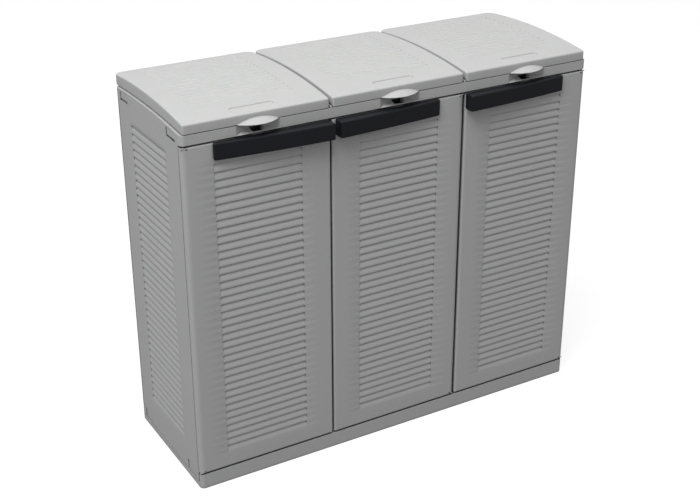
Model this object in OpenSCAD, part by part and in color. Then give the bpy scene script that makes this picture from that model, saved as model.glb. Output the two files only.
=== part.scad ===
// Three-bay recycling cabinet: plinth, louvred side panels, ribbed back panels, top frame,
// three hinged doors with handles, three hinged lids and a bag holder in each bay.
// Lengths are millimetres. Pieces are drawn with y = 0 at the door faces and y growing towards
// the back; placed() then puts the origin under the middle of the overall box.

/* [Cabinet] */
// Overall width of the cabinet
cabinet_w = 1020; // [850:1:1240]
// Depth of the body, from the door faces to the back panels
cabinet_d = 352; // [293:1:430]
// Height of a door
door_h = 771; // [640:1:930]
// Thickness of the moulded walls
wall = 3; // [2.5:0.1:4]

/* [Base] */
// Height of the plinth
plinth_h = 36; // [32:1:50]
// Height of the flange the side panels stand on
flange_h = 14; // [10:1:20]
// Gap between a door and the plinth below or the rail above
door_gap_z = 4.5; // [3:0.5:6]
// Height of the front rail from the doors to the lids
rail_h = 22.5; // [20:0.5:30]

/* [Doors] */
// Distance of a hinge pin behind the door face and in from the door edge
hinge_inset = 10; // [9:0.5:12]
// Gap between neighbouring doors
door_gap = 3; // [2:0.5:4]
// Rounding of the vertical edge on a door's opening side
edge_r = 5; // [3:0.5:7]
// Radius of a hinge pin
pin_r = 3; // [2.5:0.1:3.5]
// Length of a hinge pin inside the door
pin_in_door = 24; // [18:1:26]
// Length of a hinge pin inside the plinth or rail
pin_in_frame = 8; // [6:1:10]
// Radial running clearance of hinge pins and lid rods
run_gap = 0.05; // [0.02:0.01:0.09]

/* [Louvres] */
// Rows of slats on a door or side panel
louvre_rows = 39; // [20:1:45]
// Width of the slat field on a door
door_louvre_w = 200; // [120:5:220]
// Width of the slat field on a side panel
side_louvre_w = 185; // [120:5:200]
// Depth of the recess under each slat's lip
louvre_depth = 3.5; // [2:0.5:4]
// Plain margin below the slat field on a door
door_louvre_lift = 36; // [30:1:50]
// Plain margin above the slat field on a door, which its handle covers
door_louvre_drop = 45; // [40:1:60]
// Height of the slat field above the bottom of a side panel
side_louvre_lift = 75; // [60:1:100]

/* [Handles] */
// Depth of a handle at the opening side of its door
handle_deep = 25; // [20:0.5:30]
// Depth of a handle at its far end
handle_shallow = 7; // [5:0.5:10]
// Height of a handle
handle_h = 37; // [30:1:42]
// Distance the middle handle stands in from its door's opening edge
middle_handle_inset = 9; // [5:1:14]
// Distance the outer handles stand in from their doors' opening edges
outer_handle_inset = 1; // [0.5:0.5:4]
// Radius of a handle screw
screw_r = 2; // [1.5:0.1:2.5]

/* [Lids] */
// Step from the cabinet's side to the lids' outer edges
lid_inset = 6; // [4:0.5:10]
// Gap between neighbouring lids
lid_gap = 7.5; // [6:0.5:10]
// Distance the lids reach behind the body
lid_overhang = 22; // [20:0.5:26]
// Height of the lids' front edge above the rail's underside
lid_front_rise = 43.5; // [36:0.5:50]
// Height of the lids' crown above their front edge
lid_crown = 15.5; // [10:0.5:20]
// Distance of the crown behind the door faces
crown_y = 215; // [180:1:240]
// Height of the top frame's crown above its front edge
rim_crown = 10; // [6:0.5:12]
// Gap between a lid's skirt and the top frame
lid_lift = 1.6; // [1:0.1:2]
// Radius of the lids' back corners in plan
lid_corner_r = 20; // [12:1:24]
// Rows of slats on a lid
lid_rows = 16; // [8:1:20]
// Width of the slat field on a lid
lid_louvre_w = 230; // [150:5:260]
// Distance of the slat field on a lid behind the door faces
lid_louvre_front = 60; // [45:1:80]
// Distance of that field's far end in front of the lid's back
lid_louvre_margin = 34; // [30:1:50]
// Depth of the slats on a lid
lid_louvre_depth = 1.2; // [0.6:0.1:1.6]
// Distance of the lid rod behind the body
rod_behind = 9; // [8:0.5:10]
// Radius of a lid rod
rod_r = 3; // [2.5:0.1:3.5]
// Width of the finger grip on a lid
grip_w = 94; // [70:1:110]
// Distance the finger grip stands out
grip_reach = 19.5; // [14:0.5:22]

/* [Bag holders] */
// Height of the ledge the bag frames rest on, above the rail's underside
ledge_lift = 5.5; // [4:0.5:8]
// Width of a bag frame's plate beside the opening a bag hangs in
bag_side_rim = 30; // [25:1:40]
// Width of that plate in front of the opening
bag_front_rim = 28; // [24:1:36]
// Width of that plate behind the opening
bag_back_rim = 24; // [22:1:36]
// Depth of the collar the bag is drawn over
collar_h = 30; // [20:1:40]
// Radius of a bag clamp's pin
clamp_pin_r = 2; // [1.6:0.1:2.4]

/* [Hidden] */

body_grey = [0.60, 0.61, 0.60];
lid_grey = [0.72, 0.73, 0.72];
handle_black = [0.10, 0.10, 0.11];
steel_grey = [0.70, 0.71, 0.73];
holder_grey = [0.35, 0.36, 0.37];

// Facets of long flat arcs, of round corners and of small round parts
arc_fn = 720;
corner_fn = 96;
hole_fn = 48;
// Overlap used where one solid is joined to or cut from another
bite = 1;

// Heights
door_z = plinth_h + door_gap_z;
door_top = door_z + door_h;
rail_z = door_top + door_gap_z;
rim_front_z = rail_z + rail_h;
rim_crown_z = rim_front_z + rim_crown;
lid_front_z = rail_z + lid_front_rise;
lid_crown_z = lid_front_z + lid_crown;
ledge_z = rail_z + ledge_lift;
floor_z = plinth_h - wall;

// Widths: three bays, and three lids on a slightly smaller pitch
bay_w = cabinet_w / 3;
lid_w = (cabinet_w - 2 * lid_inset - 2 * lid_gap) / 3;
lid_pitch = lid_w + lid_gap;
side_x = cabinet_w / 2;
// Side, base and frame walls lie one wall and a slip gap inside the side panels' outer faces
slip = 0.4;
inner_x = side_x - wall - slip;

// The middle of the overall box, which spans the handles in front and the lids behind
lid_back_y = cabinet_d + lid_overhang;
mid_y = (lid_back_y - handle_deep) / 2;

// Height of the slat fields on the doors and side panels, and the far end of those on the lids
louvre_h = door_h - door_louvre_lift - door_louvre_drop;
lid_louvre_back = lid_back_y - lid_louvre_margin;

// Radius of an arc that rises by `rise` between y = 0 and its crown
function crown_radius(rise) = (crown_y * crown_y + rise * rise) / (2 * rise);
// Height of that arc at a distance y behind the doors
function crown_height(crown_z, r, y) = crown_z - r + sqrt(r * r - (y - crown_y) * (y - crown_y));
lid_r = crown_radius(lid_crown);
rim_r = crown_radius(rim_crown);
rim_drop = lid_lift / 2;

// Height of the shelf under a slat's lip, and thickness of the walls at the slats' ends
lip_h = 2.5;
end_wall = 2;

// Door layout: side is -1 when the hinge is on the door's left, 1 when it is on its right
door_side = [-1, 1, 1];
door_left = [-side_x, -bay_w / 2 + door_gap / 2, bay_w / 2 + door_gap / 2];
door_right = [-bay_w / 2 - door_gap / 2, bay_w / 2 - door_gap / 2, side_x];
handle_inset = [outer_handle_inset, middle_handle_inset, outer_handle_inset];
function door_w(i) = door_right[i] - door_left[i];
function open_x(i) = door_side[i] < 0 ? door_right[i] : door_left[i];
function pin_x(i) = door_side[i] < 0 ? door_left[i] + hinge_inset : door_right[i] - hinge_inset;
door_d = 2 * hinge_inset;

// Door hinge and closing details
knuckle_gap = 1.4;
stop_y = door_d + 2;
stop_half_w = 22;
collar_r = 5.5;
collar_gap = 0.3;
boss_r = 8;

// Side panel outline
side_front_y = hinge_inset;
side_back_y = cabinet_d - 16;
back_corner_r = 14;
rim_band = wall + rim_drop + slip / 2;
window_w = 43;
window_h = 23;
window_front_y = stop_y + wall + 3;
window_back_y = side_back_y - 12 - window_w;
window_low_z = flange_h + 4;
window_high_h = 18;
// Where the frame's rounded front corner ends and the side panel begins
corner_end_y = hinge_inset + sqrt(pow(hinge_inset + knuckle_gap, 2) - pow(hinge_inset, 2)) - slip;
lug_gap = 1;
lug_side_gap = 2.5;
lug_d = wall - 0.6;

// Handle arc in plan: its depth follows a large circle from the deep end to the shallow end
function handle_len(i) = door_w(i) / 2 + door_louvre_w / 2 - handle_inset[i];
handle_z = door_top - handle_h + 1;
handle_bow = 3183;
handle_screw_s = [46, 190];

// Magnet and strike plate near the top of each door's opening edge
magnet_w = 14;
magnet_h = 40;
magnet_y = 10;
magnet_z = door_top - 90;
magnet_rim_gap = 1.6;
strike_t = 1.2;
strike_gap = 0.4;

// Lid hinge: a rod behind the body, held by ears on the frame and lugs under the lid
rod_y = cabinet_d + rod_behind;
rod_z = crown_height(rim_crown_z, rim_r, cabinet_d) + 6;
ear_x = lid_w / 2 - 53.5;
ear_t = 8;
ear_r = 7;
ear_gap = 0.6;
rod_half = ear_x + ear_t / 2 + 4;

// Bag holders
bag_plate = [lid_w - 15, cabinet_d - 38];
bag_plate_y = 22;
throat = [bag_plate[0] - 2 * bag_side_rim, bag_plate[1] - bag_front_rim - bag_back_rim];
throat_y = bag_plate_y + bag_front_rim;
ledge_open = [throat[0] + 2 * wall + 18, throat[1] + 2 * wall + 14];
frame_t = 3;
clamp_gap = 0.8;
clamp_t = 3;
clamp_w = [bag_plate[0] - 20, bag_plate[1] - 24];
clamp_y = bag_plate_y + 8;
clamp_pin_y = bag_plate_y + bag_plate[1] - 8;
clamp_pin_z = ledge_z + wall + slip + frame_t + 6;
clamp_ear_x = throat[0] / 2 - 32;
clamp_ear_t = 6;
clamp_ear_r = 4.5;

// Wall-fixing holes through the back rail
fixing_r = 3;
fixing_spacing = 2 * bay_w;
fixing_z = rail_z + 12;

// ---- shared shapes ----

module placed() { translate([0, -mid_y, 0]) children(); }

// A box given by its lowest and highest corners
module span(a, b) { translate(a) cube([b[0] - a[0], b[1] - a[1], b[2] - a[2]]); }

// A cylinder along X, given by its radius, centre and two ends
module bar_x(r, y, z, xa, xb, fn = hole_fn) {
    translate([xa, y, z]) rotate([0, 90, 0]) cylinder(r = r, h = xb - xa, $fn = fn);
}

// The space below a crowned arc across the whole width
module below_crown(r, crown_z) { bar_x(r, crown_y, crown_z - r, -side_x - 20, side_x + 20, arc_fn); }

// A rectangle in plan whose front and back corners have their own radii
module plan_rect(xa, xb, ya, yb, front_r, back_r) {
    union() {
        translate([xa + front_r, ya]) square([xb - xa - 2 * front_r, yb - ya - back_r]);
        translate([xa, ya + front_r]) square([xb - xa, yb - ya - front_r - back_r]);
        translate([xa + back_r, ya + front_r]) square([xb - xa - 2 * back_r, yb - ya - front_r]);
        for (x = [xa + front_r, xb - front_r]) translate([x, ya + front_r]) circle(front_r, $fn = corner_fn);
        for (x = [xa + back_r, xb - back_r]) translate([x, yb - back_r]) circle(back_r, $fn = corner_fn);
    }
}

// Plan of the cabinet's body, drawn in from its outside by `inset`
module body_outline(inset) {
    plan_rect(-side_x + inset, side_x - inset, inset, cabinet_d - inset,
              hinge_inset - inset * 0.9, back_corner_r - inset);
}

// Slats in section: x is the depth, y the height. Each slat leaves the face at its lower lip and
// leans inwards up to the next lip; the skin behind is thickened into a shelf under every lip.
module louvre_section() {
    pitch = louvre_h / louvre_rows;
    front = [for (i = [0:louvre_rows - 1]) each [[0, i * pitch], [louvre_depth, (i + 1) * pitch]]];
    back = [for (i = [louvre_rows - 1:-1:0]) each [
        [louvre_depth + wall, (i + 1) * pitch + lip_h], [wall, i * pitch + lip_h]]];
    polygon(concat(front, [[0, louvre_h], [0, louvre_h + lip_h]], back, [[wall, 0]]));
}

// The slats upright in a panel that faces -y, with end walls behind the panel's skin
module louvre_panel(w) {
    rotate([0, 0, 90]) rotate([90, 0, 0]) translate([0, 0, -w / 2 - end_wall / 2])
        linear_extrude(w + end_wall) louvre_section();
    for (s = [-1, 1]) mirror([s < 0 ? 1 : 0, 0, 0])
        span([w / 2, wall - bite, 0], [w / 2 + end_wall, wall + louvre_depth, louvre_h + lip_h]);
}

// What is removed from a panel's skin where the slats go
module louvre_window(w) { span([-w / 2, -bite, 0], [w / 2, wall + bite, louvre_h]); }

// ---- base ----

module base_tray() {
    color(body_grey) placed() difference() {
        union() {
            difference() {
                linear_extrude(plinth_h) body_outline(0);
                translate([0, 0, -bite]) linear_extrude(floor_z - wall + bite) body_outline(wall);
                translate([0, 0, floor_z]) linear_extrude(wall + bite) body_outline(wall + 3);
                // Recess for the side panels above the flange
                for (s = [-1, 1]) mirror([s < 0 ? 1 : 0, 0, 0])
                    span([inner_x, side_front_y, flange_h],
                         [side_x + bite, side_back_y + slip, plinth_h + bite]);
            }
            // Side walls behind that recess
            for (s = [-1, 1]) mirror([s < 0 ? 1 : 0, 0, 0])
                span([inner_x - wall, wall, flange_h - bite], [inner_x, cabinet_d - back_corner_r, plinth_h]);
            // Ribs under the floor
            for (x = [-bay_w, -bay_w / 2, 0, bay_w / 2, bay_w])
                span([x - wall / 2, wall / 2, 0], [x + wall / 2, cabinet_d - wall / 2, floor_z - wall / 2]);
            for (y = [0.25, 0.5, 0.75])
                span([-inner_x + 1, cabinet_d * y - wall / 2, 0],
                     [inner_x - 1, cabinet_d * y + wall / 2, floor_z - wall / 2]);
            // Upstands that locate the dividers
            for (x = [-bay_w / 2, bay_w / 2], s = [-1, 1])
                span([x + s * 4 - 1.2, 60, floor_z - bite],
                     [x + s * 4 + 1.2, cabinet_d - 60, floor_z + 8]);
            // Bosses round the door pins, and lugs that catch the side panels
            for (i = [0:2]) translate([pin_x(i), hinge_inset, plinth_h - pin_in_frame - 6])
                cylinder(r = boss_r, h = pin_in_frame + 6, $fn = corner_fn);
            for (y = [window_front_y, window_back_y]) side_lug(y, window_low_z, window_h);
        }
        for (i = [0:2]) translate([pin_x(i), hinge_inset, plinth_h - pin_in_frame])
            cylinder(r = pin_r + run_gap, h = pin_in_frame + bite, $fn = hole_fn);
    }
}

// Lugs that fill the side panels' windows from inside, one pair at the bottom and one at the top
module side_lug(y, z, h) {
    for (s = [-1, 1]) mirror([s < 0 ? 1 : 0, 0, 0])
        span([inner_x - bite, y + lug_gap, z + lug_gap],
             [inner_x + lug_d, y + window_w - lug_side_gap, z + h - lug_gap]);
}

// Foot of an upper window, which is a notch in the panel's top edge
function window_high_z(y) =
    crown_height(rim_crown_z, rim_r, y + window_w / 2) - rim_band - window_high_h;

// ---- side panels ----

module side_panel(s) {
    louvre_z = flange_h + side_louvre_lift;
    in_x = side_x - wall;
    color(body_grey) placed() mirror([s < 0 ? 1 : 0, 0, 0]) intersection() {
        difference() {
            union() {
                difference() {
                    span([in_x, side_front_y, flange_h + slip], [side_x, side_back_y, rim_crown_z]);
                    translate([side_x, cabinet_d / 2, louvre_z]) rotate([0, 0, 90])
                        louvre_window(side_louvre_w);
                }
                translate([side_x, cabinet_d / 2, louvre_z]) rotate([0, 0, 90]) louvre_panel(side_louvre_w);
                // Returns along the front, where the door closes, and along the back
                span([side_x - 30, stop_y, plinth_h + slip],
                     [in_x + bite, stop_y + wall, rail_z - slip]);
                span([side_x - 10, side_back_y - wall, plinth_h + slip],
                     [in_x + bite, side_back_y, rail_z - slip]);
            }
            translate([side_x - hinge_inset, hinge_inset, 0])
                cylinder(r = hinge_inset + knuckle_gap, h = rail_z + lid_front_rise, $fn = corner_fn);
            for (y = [window_front_y, window_back_y]) {
                span([in_x - bite, y, window_low_z],
                     [side_x + bite, y + window_w, window_low_z + window_h]);
                span([in_x - bite, y, window_high_z(y)], [side_x + bite, y + window_w, rim_crown_z]);
            }
        }
        below_crown(rim_r - rim_band, rim_crown_z - rim_band);
    }
}

// ---- dividers and back panels ----

divider_foot = floor_z + slip;
divider_top = rail_z - slip;
groove_d = 1;

// A wall between two bays, with ribs across it and a flange along its back edge
module divider(x) {
    front = stop_y + wall - groove_d + slip / 2;
    back = cabinet_d - wall - slip;
    rib_step = (divider_top - divider_foot) / 6;
    color(body_grey) placed() translate([x, 0, 0]) {
        span([-wall / 2, front, divider_foot], [wall / 2, back - wall, divider_top]);
        span([-8, back - wall - bite, divider_foot + wall], [8, back, divider_top]);
        for (k = [1:5]) span([-wall / 2 - 4, stop_y + wall + slip, divider_foot + k * rib_step - wall / 2],
                             [wall / 2 + 4, back - wall, divider_foot + k * rib_step + wall / 2]);
    }
}

// The post the doors close against; the divider's front edge stands in a groove down its back
module divider_post(x) {
    color(body_grey) placed() translate([x, 0, 0]) difference() {
        span([-stop_half_w, stop_y, plinth_h - wall + slip], [stop_half_w, stop_y + wall, divider_top]);
        span([-wall / 2 - slip, stop_y + wall - groove_d, plinth_h - 2 * wall],
             [wall / 2 + slip, stop_y + wall + bite, rail_z]);
    }
}

// Corrugated sheet in plan: flat strips joined by shallow ribs that stand inwards
module corrugated(xa, xb, t) {
    ribs = 7;
    pitch = (xb - xa) / ribs;
    rise = 4;
    corners = [[0, 0], [0.3, 0], [0.38, -rise], [0.62, -rise], [0.7, 0]];
    outer = [for (k = [0:ribs - 1], c = corners) [xa + (k + c[0]) * pitch, c[1]]];
    inner = [for (i = [len(outer) - 1:-1:0]) outer[i] - [0, t]];
    polygon(concat(outer, [[xb, 0], [xb, -t]], inner));
}

back_z = plinth_h + 0.8;
back_top = rail_z - 0.8;
back_seam = 1;
corner_gap = 1.8;

module middle_back_panel() {
    color(body_grey) placed() translate([0, cabinet_d, back_z]) linear_extrude(back_top - back_z)
        corrugated(-bay_w / 2 + back_seam, bay_w / 2 - back_seam, wall - 0.2);
}

// An outer back panel wraps round the cabinet's rounded corner to meet the side panel
module outer_back_panel(s) {
    t = wall - 0.2;
    color(body_grey) placed() mirror([s < 0 ? 1 : 0, 0, 0]) translate([0, 0, back_z]) {
        translate([0, cabinet_d, 0]) linear_extrude(back_top - back_z)
            corrugated(bay_w / 2 + back_seam, side_x - back_corner_r, t);
        linear_extrude(back_top - back_z) intersection() {
            difference() {
                body_outline(0);
                body_outline(t);
            }
            translate([side_x - back_corner_r - bite, side_back_y + corner_gap])
                square(back_corner_r + 4 * bite);
        }
    }
}

// ---- top frame ----

scoop_half_w = 50;
scoop_depth = 14;
scoop_r = (scoop_half_w * scoop_half_w + scoop_depth * scoop_depth) / (2 * scoop_depth);
scoop_lip = 1.2;
scoop_floor_h = 8;
deck_margin = 5.5;
deck_y = [12, cabinet_d - 12];
nose_w = 4.5;
nose_rise = 4;

// What a finger scoop takes from the rail, in section along X
module scoop_profile() {
    z = rail_z + scoop_lip;
    back = scoop_depth + bite;
    rotate([90, 0, 90]) translate([0, 0, -scoop_half_w - bite]) linear_extrude(2 * (scoop_half_w + bite))
        polygon([[-bite, z], [0, z], [back, z + scoop_floor_h], [back, rim_crown_z], [-bite, rim_crown_z]]);
}

module top_frame() {
    color(body_grey) placed() difference() {
        union() {
            // Front and back rails and the crowned deck round the lid openings
            intersection() {
                union() {
                    difference() {
                        translate([0, 0, rail_z]) linear_extrude(rail_h + rim_crown) body_outline(0);
                        translate([0, 0, rail_z - bite]) linear_extrude(rail_h + rim_crown + 2 * bite)
                            body_outline(wall);
                        for (s = [-1, 1]) mirror([s < 0 ? 1 : 0, 0, 0])
                            span([inner_x, corner_end_y, rail_z - bite],
                                 [side_x + bite, side_back_y + slip, rim_crown_z + bite]);
                    }
                    // Walls inside the side panels
                    for (s = [-1, 1]) mirror([s < 0 ? 1 : 0, 0, 0])
                        span([inner_x - wall, wall, rail_z + 2],
                             [inner_x, cabinet_d - back_corner_r, rim_crown_z]);
                    // Webs between the bays
                    for (x = [-lid_pitch / 2, lid_pitch / 2])
                        span([x - 2, wall / 2, rail_z], [x + 2, cabinet_d - wall / 2, rim_crown_z]);
                    difference() {
                        linear_extrude(rim_crown_z) body_outline(0);
                        below_crown(rim_r - wall - rim_drop, rim_crown_z - wall - rim_drop);
                    }
                    for (y = [window_front_y, window_back_y])
                        side_lug(y, window_high_z(y), window_high_h + rim_band);
                    // Solid backing for the finger scoops
                    for (i = [-1:1]) span([i * lid_pitch - scoop_half_w - 5, wall / 2, rail_z],
                                          [i * lid_pitch + scoop_half_w + 5, scoop_depth + 4, rim_crown_z]);
                }
                below_crown(rim_r - rim_drop, rim_crown_z - rim_drop);
            }
            // Ledges the bag frames rest on
            difference() {
                span([-inner_x + wall / 2, wall / 2, ledge_z],
                     [inner_x - wall / 2, cabinet_d - wall / 2, ledge_z + wall]);
                for (i = [-1:1]) translate([i * lid_pitch, throat_y - wall - 7, ledge_z - bite])
                    span([-ledge_open[0] / 2, 0, 0], [ledge_open[0] / 2, ledge_open[1], wall + 2 * bite]);
            }
            // Noses that fill the gaps between the lids
            intersection() {
                for (x = [-lid_pitch / 2, lid_pitch / 2]) {
                    span([x - nose_w / 2, nose_w / 2, rail_z + wall],
                         [x + nose_w / 2, cabinet_d - 1, rim_crown_z + nose_rise]);
                    translate([x, nose_w / 2, rail_z + wall])
                        cylinder(d = nose_w, h = rail_h + rim_crown, $fn = corner_fn);
                }
                below_crown(rim_r + nose_rise - rim_drop, rim_crown_z + nose_rise - rim_drop);
            }
            // Ears that hold the lid rods
            for (i = [-1:1], s = [-1, 1]) translate([i * lid_pitch + s * ear_x, 0, 0]) {
                span([-ear_t / 2, cabinet_d - 10, rod_z - ear_r], [ear_t / 2, rod_y, rod_z + ear_r]);
                bar_x(ear_r, rod_y, rod_z, -ear_t / 2, ear_t / 2, corner_fn);
            }
            // Bosses round the doors' top pins
            for (i = [0:2]) translate([pin_x(i), hinge_inset, rail_z])
                cylinder(r = boss_r, h = pin_in_frame + 6, $fn = corner_fn);
        }
        // Lid openings through the deck, above the ledges
        for (i = [-1:1]) span([i * lid_pitch - lid_w / 2 + deck_margin, deck_y[0] + 6, ledge_z + wall],
                              [i * lid_pitch + lid_w / 2 - deck_margin, deck_y[1], rim_crown_z + 20]);
        // Finger scoops whose floors rise towards the back, with a tapered slot behind each that
        // opens downwards behind a front lip
        for (i = [-1:1]) translate([i * lid_pitch, 0, 0]) {
            intersection() {
                translate([0, scoop_depth - scoop_r, rail_z])
                    cylinder(r = scoop_r, h = rail_h + rim_crown + bite, $fn = arc_fn);
                scoop_profile();
            }
            rotate([90, 0, 0]) translate([0, 0, -scoop_depth - 10]) linear_extrude(scoop_depth + 10)
                polygon([[-12, rail_z + 2.5], [12, rail_z + 2.5], [18, rail_z + 15.5], [-18, rail_z + 15.5]]);
            span([-12, wall, rail_z - bite], [12, scoop_depth + 10, rail_z + wall]);
        }
        for (i = [-1:1], s = [-1, 1])
            translate([i * lid_pitch + s * ear_x, 0, 0])
                bar_x(rod_r + run_gap, rod_y, rod_z, -ear_t, ear_t);
        for (i = [0:2]) translate([pin_x(i), hinge_inset, rail_z - bite])
            cylinder(r = pin_r + run_gap, h = pin_in_frame + bite, $fn = hole_fn);
        for (s = [-1, 1]) translate([s * fixing_spacing / 2, cabinet_d - wall - bite, fixing_z])
            rotate([-90, 0, 0]) cylinder(r = fixing_r, h = wall + 2 * bite, $fn = hole_fn);
    }
}

// ---- doors ----

// Plan of a door with its hinge at the left, from the pin's centre line to the opening edge
module door_plan(w, inset) {
    r = max(edge_r - inset, 0.5);
    union() {
        translate([hinge_inset, hinge_inset]) circle(hinge_inset - inset, $fn = corner_fn);
        translate([hinge_inset, inset]) square([w - hinge_inset - inset - r, door_d - 2 * inset]);
        translate([hinge_inset, inset + r]) square([w - hinge_inset - inset, door_d - 2 * inset - r]);
        translate([w - inset - r, inset + r]) circle(r, $fn = corner_fn);
    }
}

module door(i) {
    w = door_w(i);
    field_x = w - handle_inset[i] - handle_len(i) + door_louvre_w / 2;
    plug_h = pin_in_door + 4;
    color(body_grey) placed() translate([0, 0, door_z]) door_hand(i) difference() {
        union() {
            difference() {
                linear_extrude(door_h) door_plan(w, 0);
                // Hollow from the back, leaving the top and bottom edges and the hinge tube
                translate([0, 0, wall]) linear_extrude(door_h - 2 * wall) door_plan(w, wall);
                span([hinge_inset, door_d / 2, wall], [w - wall, door_d + bite, door_h - wall]);
                translate([field_x, 0, door_louvre_lift]) louvre_window(door_louvre_w);
            }
            translate([field_x, 0, door_louvre_lift]) louvre_panel(door_louvre_w);
            // Solid plugs for the pins at both ends of the hinge tube
            for (z = [0, door_h - plug_h]) translate([hinge_inset, hinge_inset, z])
                cylinder(r = hinge_inset - wall / 2, h = plug_h, $fn = corner_fn);
            // Boss behind the strike plate
            span([w - wall - magnet_rim_gap - magnet_w, wall - bite, magnet_z - door_z],
                 [w - wall - magnet_rim_gap, magnet_y - strike_gap - strike_t, magnet_z - door_z + magnet_h]);
        }
        for (z = [-bite, door_h - pin_in_door]) translate([hinge_inset, hinge_inset, z])
            cylinder(r = pin_r, h = pin_in_door + bite, $fn = hole_fn);
        for (s = handle_screw_s) translate([w - handle_inset[i] - s, -bite, handle_z + handle_h / 2 - door_z])
            rotate([-90, 0, 0]) cylinder(r = screw_r + 0.2, h = wall + 2 * bite, $fn = hole_fn);
    }
}

// Puts a piece drawn with the hinge on the left at door i, mirrored when the hinge is on the right
module door_hand(i) {
    translate([door_side[i] < 0 ? door_left[i] : door_right[i], 0, 0])
        mirror([door_side[i] > 0 ? 1 : 0, 0, 0]) children();
}

module door_pins(i) {
    color(steel_grey) placed() translate([pin_x(i), hinge_inset, 0]) {
        foot = plinth_h - pin_in_frame + 1;
        translate([0, 0, foot]) cylinder(r = pin_r, h = door_z + pin_in_door - foot, $fn = hole_fn);
        translate([0, 0, plinth_h + collar_gap])
            cylinder(r = collar_r, h = door_gap_z - collar_gap, $fn = hole_fn);
        translate([0, 0, door_top - pin_in_door])
            cylinder(r = pin_r, h = pin_in_door + door_gap_z + pin_in_frame - 1, $fn = hole_fn);
    }
}

// Region behind a handle's bowed face, drawn from the opening end at x = 0 towards -x
module handle_bow_region(len, inset) {
    chord = handle_deep - handle_shallow;
    tilt = (chord / len) - len / (2 * handle_bow);
    apex = tilt * handle_bow;
    translate([apex, handle_bow - handle_deep - apex * apex / (2 * handle_bow), 0])
        cylinder(r = handle_bow - inset, h = handle_h + 2 * bite, $fn = 2 * arc_fn);
}

module handle(i) {
    len = handle_len(i);
    color(handle_black) placed() translate([0, 0, handle_z]) door_hand(i)
        translate([door_w(i) - handle_inset[i], 0, 0]) difference() {
            intersection() {
                span([-len, -handle_deep - 2, 0], [0, -0.2, handle_h]);
                translate([0, 0, -bite]) handle_bow_region(len, 0);
            }
            difference() {
                intersection() {
                    span([-len + wall, -handle_deep - 2, -bite], [-wall, bite, handle_h - wall]);
                    translate([0, 0, -bite]) handle_bow_region(len, wall);
                }
                for (s = handle_screw_s) translate([-s, -handle_deep - 2, handle_h / 2])
                    rotate([-90, 0, 0]) cylinder(r = 4.5, h = handle_deep + 2, $fn = hole_fn);
                for (s = handle_screw_s) span([-s - wall / 2, -handle_deep, handle_h / 2],
                                              [-s + wall / 2, 0, handle_h]);
            }
            for (s = handle_screw_s) translate([-s, -screw_bite(i, s), handle_h / 2])
                rotate([-90, 0, 0]) cylinder(r = screw_r, h = handle_deep, $fn = hole_fn);
        }
}

// Length of a handle screw beyond the door face, short of the handle's front wall
function screw_bite(i, s) = handle_deep - (handle_deep - handle_shallow) * s / handle_len(i) - 2 * wall;

module handle_screws(i) {
    color(steel_grey) placed() translate([0, 0, handle_z + handle_h / 2]) door_hand(i)
        for (s = handle_screw_s) translate([door_w(i) - handle_inset[i] - s, 0, 0]) rotate([-90, 0, 0]) {
            translate([0, 0, -screw_bite(i, s) + 0.5])
                cylinder(r = screw_r, h = screw_bite(i, s) - 0.5 + wall, $fn = hole_fn);
            translate([0, 0, wall]) difference() {
                cylinder(r = 2 * screw_r, h = 2.4, $fn = hole_fn);
                for (a = [0, 90]) rotate(a) translate([-2.4, -0.5, 1.2]) cube([4.8, 1, 2]);
            }
        }
}

module strike_plate(i) {
    y = magnet_y - strike_gap;
    x = door_w(i) - wall - magnet_rim_gap;
    color(steel_grey) placed() door_hand(i)
        span([x - magnet_w + 1, y - strike_t, magnet_z + 2], [x - 1, y, magnet_z + magnet_h - 2]);
}

// The magnet's case stands on a divider's front flange and reaches into the door
module door_magnet(i) {
    x = door_w(i) - wall - magnet_rim_gap;
    color(handle_black) placed() door_hand(i)
        span([x - magnet_w, magnet_y, magnet_z], [x, stop_y, magnet_z + magnet_h]);
}

// ---- lids ----

module lid_plan(inset) {
    plan_rect(-lid_w / 2 + inset, lid_w / 2 - inset, inset + 0.5, lid_back_y - inset,
              max(4 - inset, 1), lid_corner_r - inset);
}

grip_back = (grip_w * grip_w / 4 - grip_reach * grip_reach) / (2 * grip_reach);
grip_slope = 10;
grip_low = (grip_w * grip_w / 4 - grip_slope * grip_slope) / (2 * grip_slope);
grip_sphere = sqrt((grip_low + grip_slope) * (grip_low + grip_slope) + grip_back * grip_back);
grip_z = rim_front_z + 1;

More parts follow.
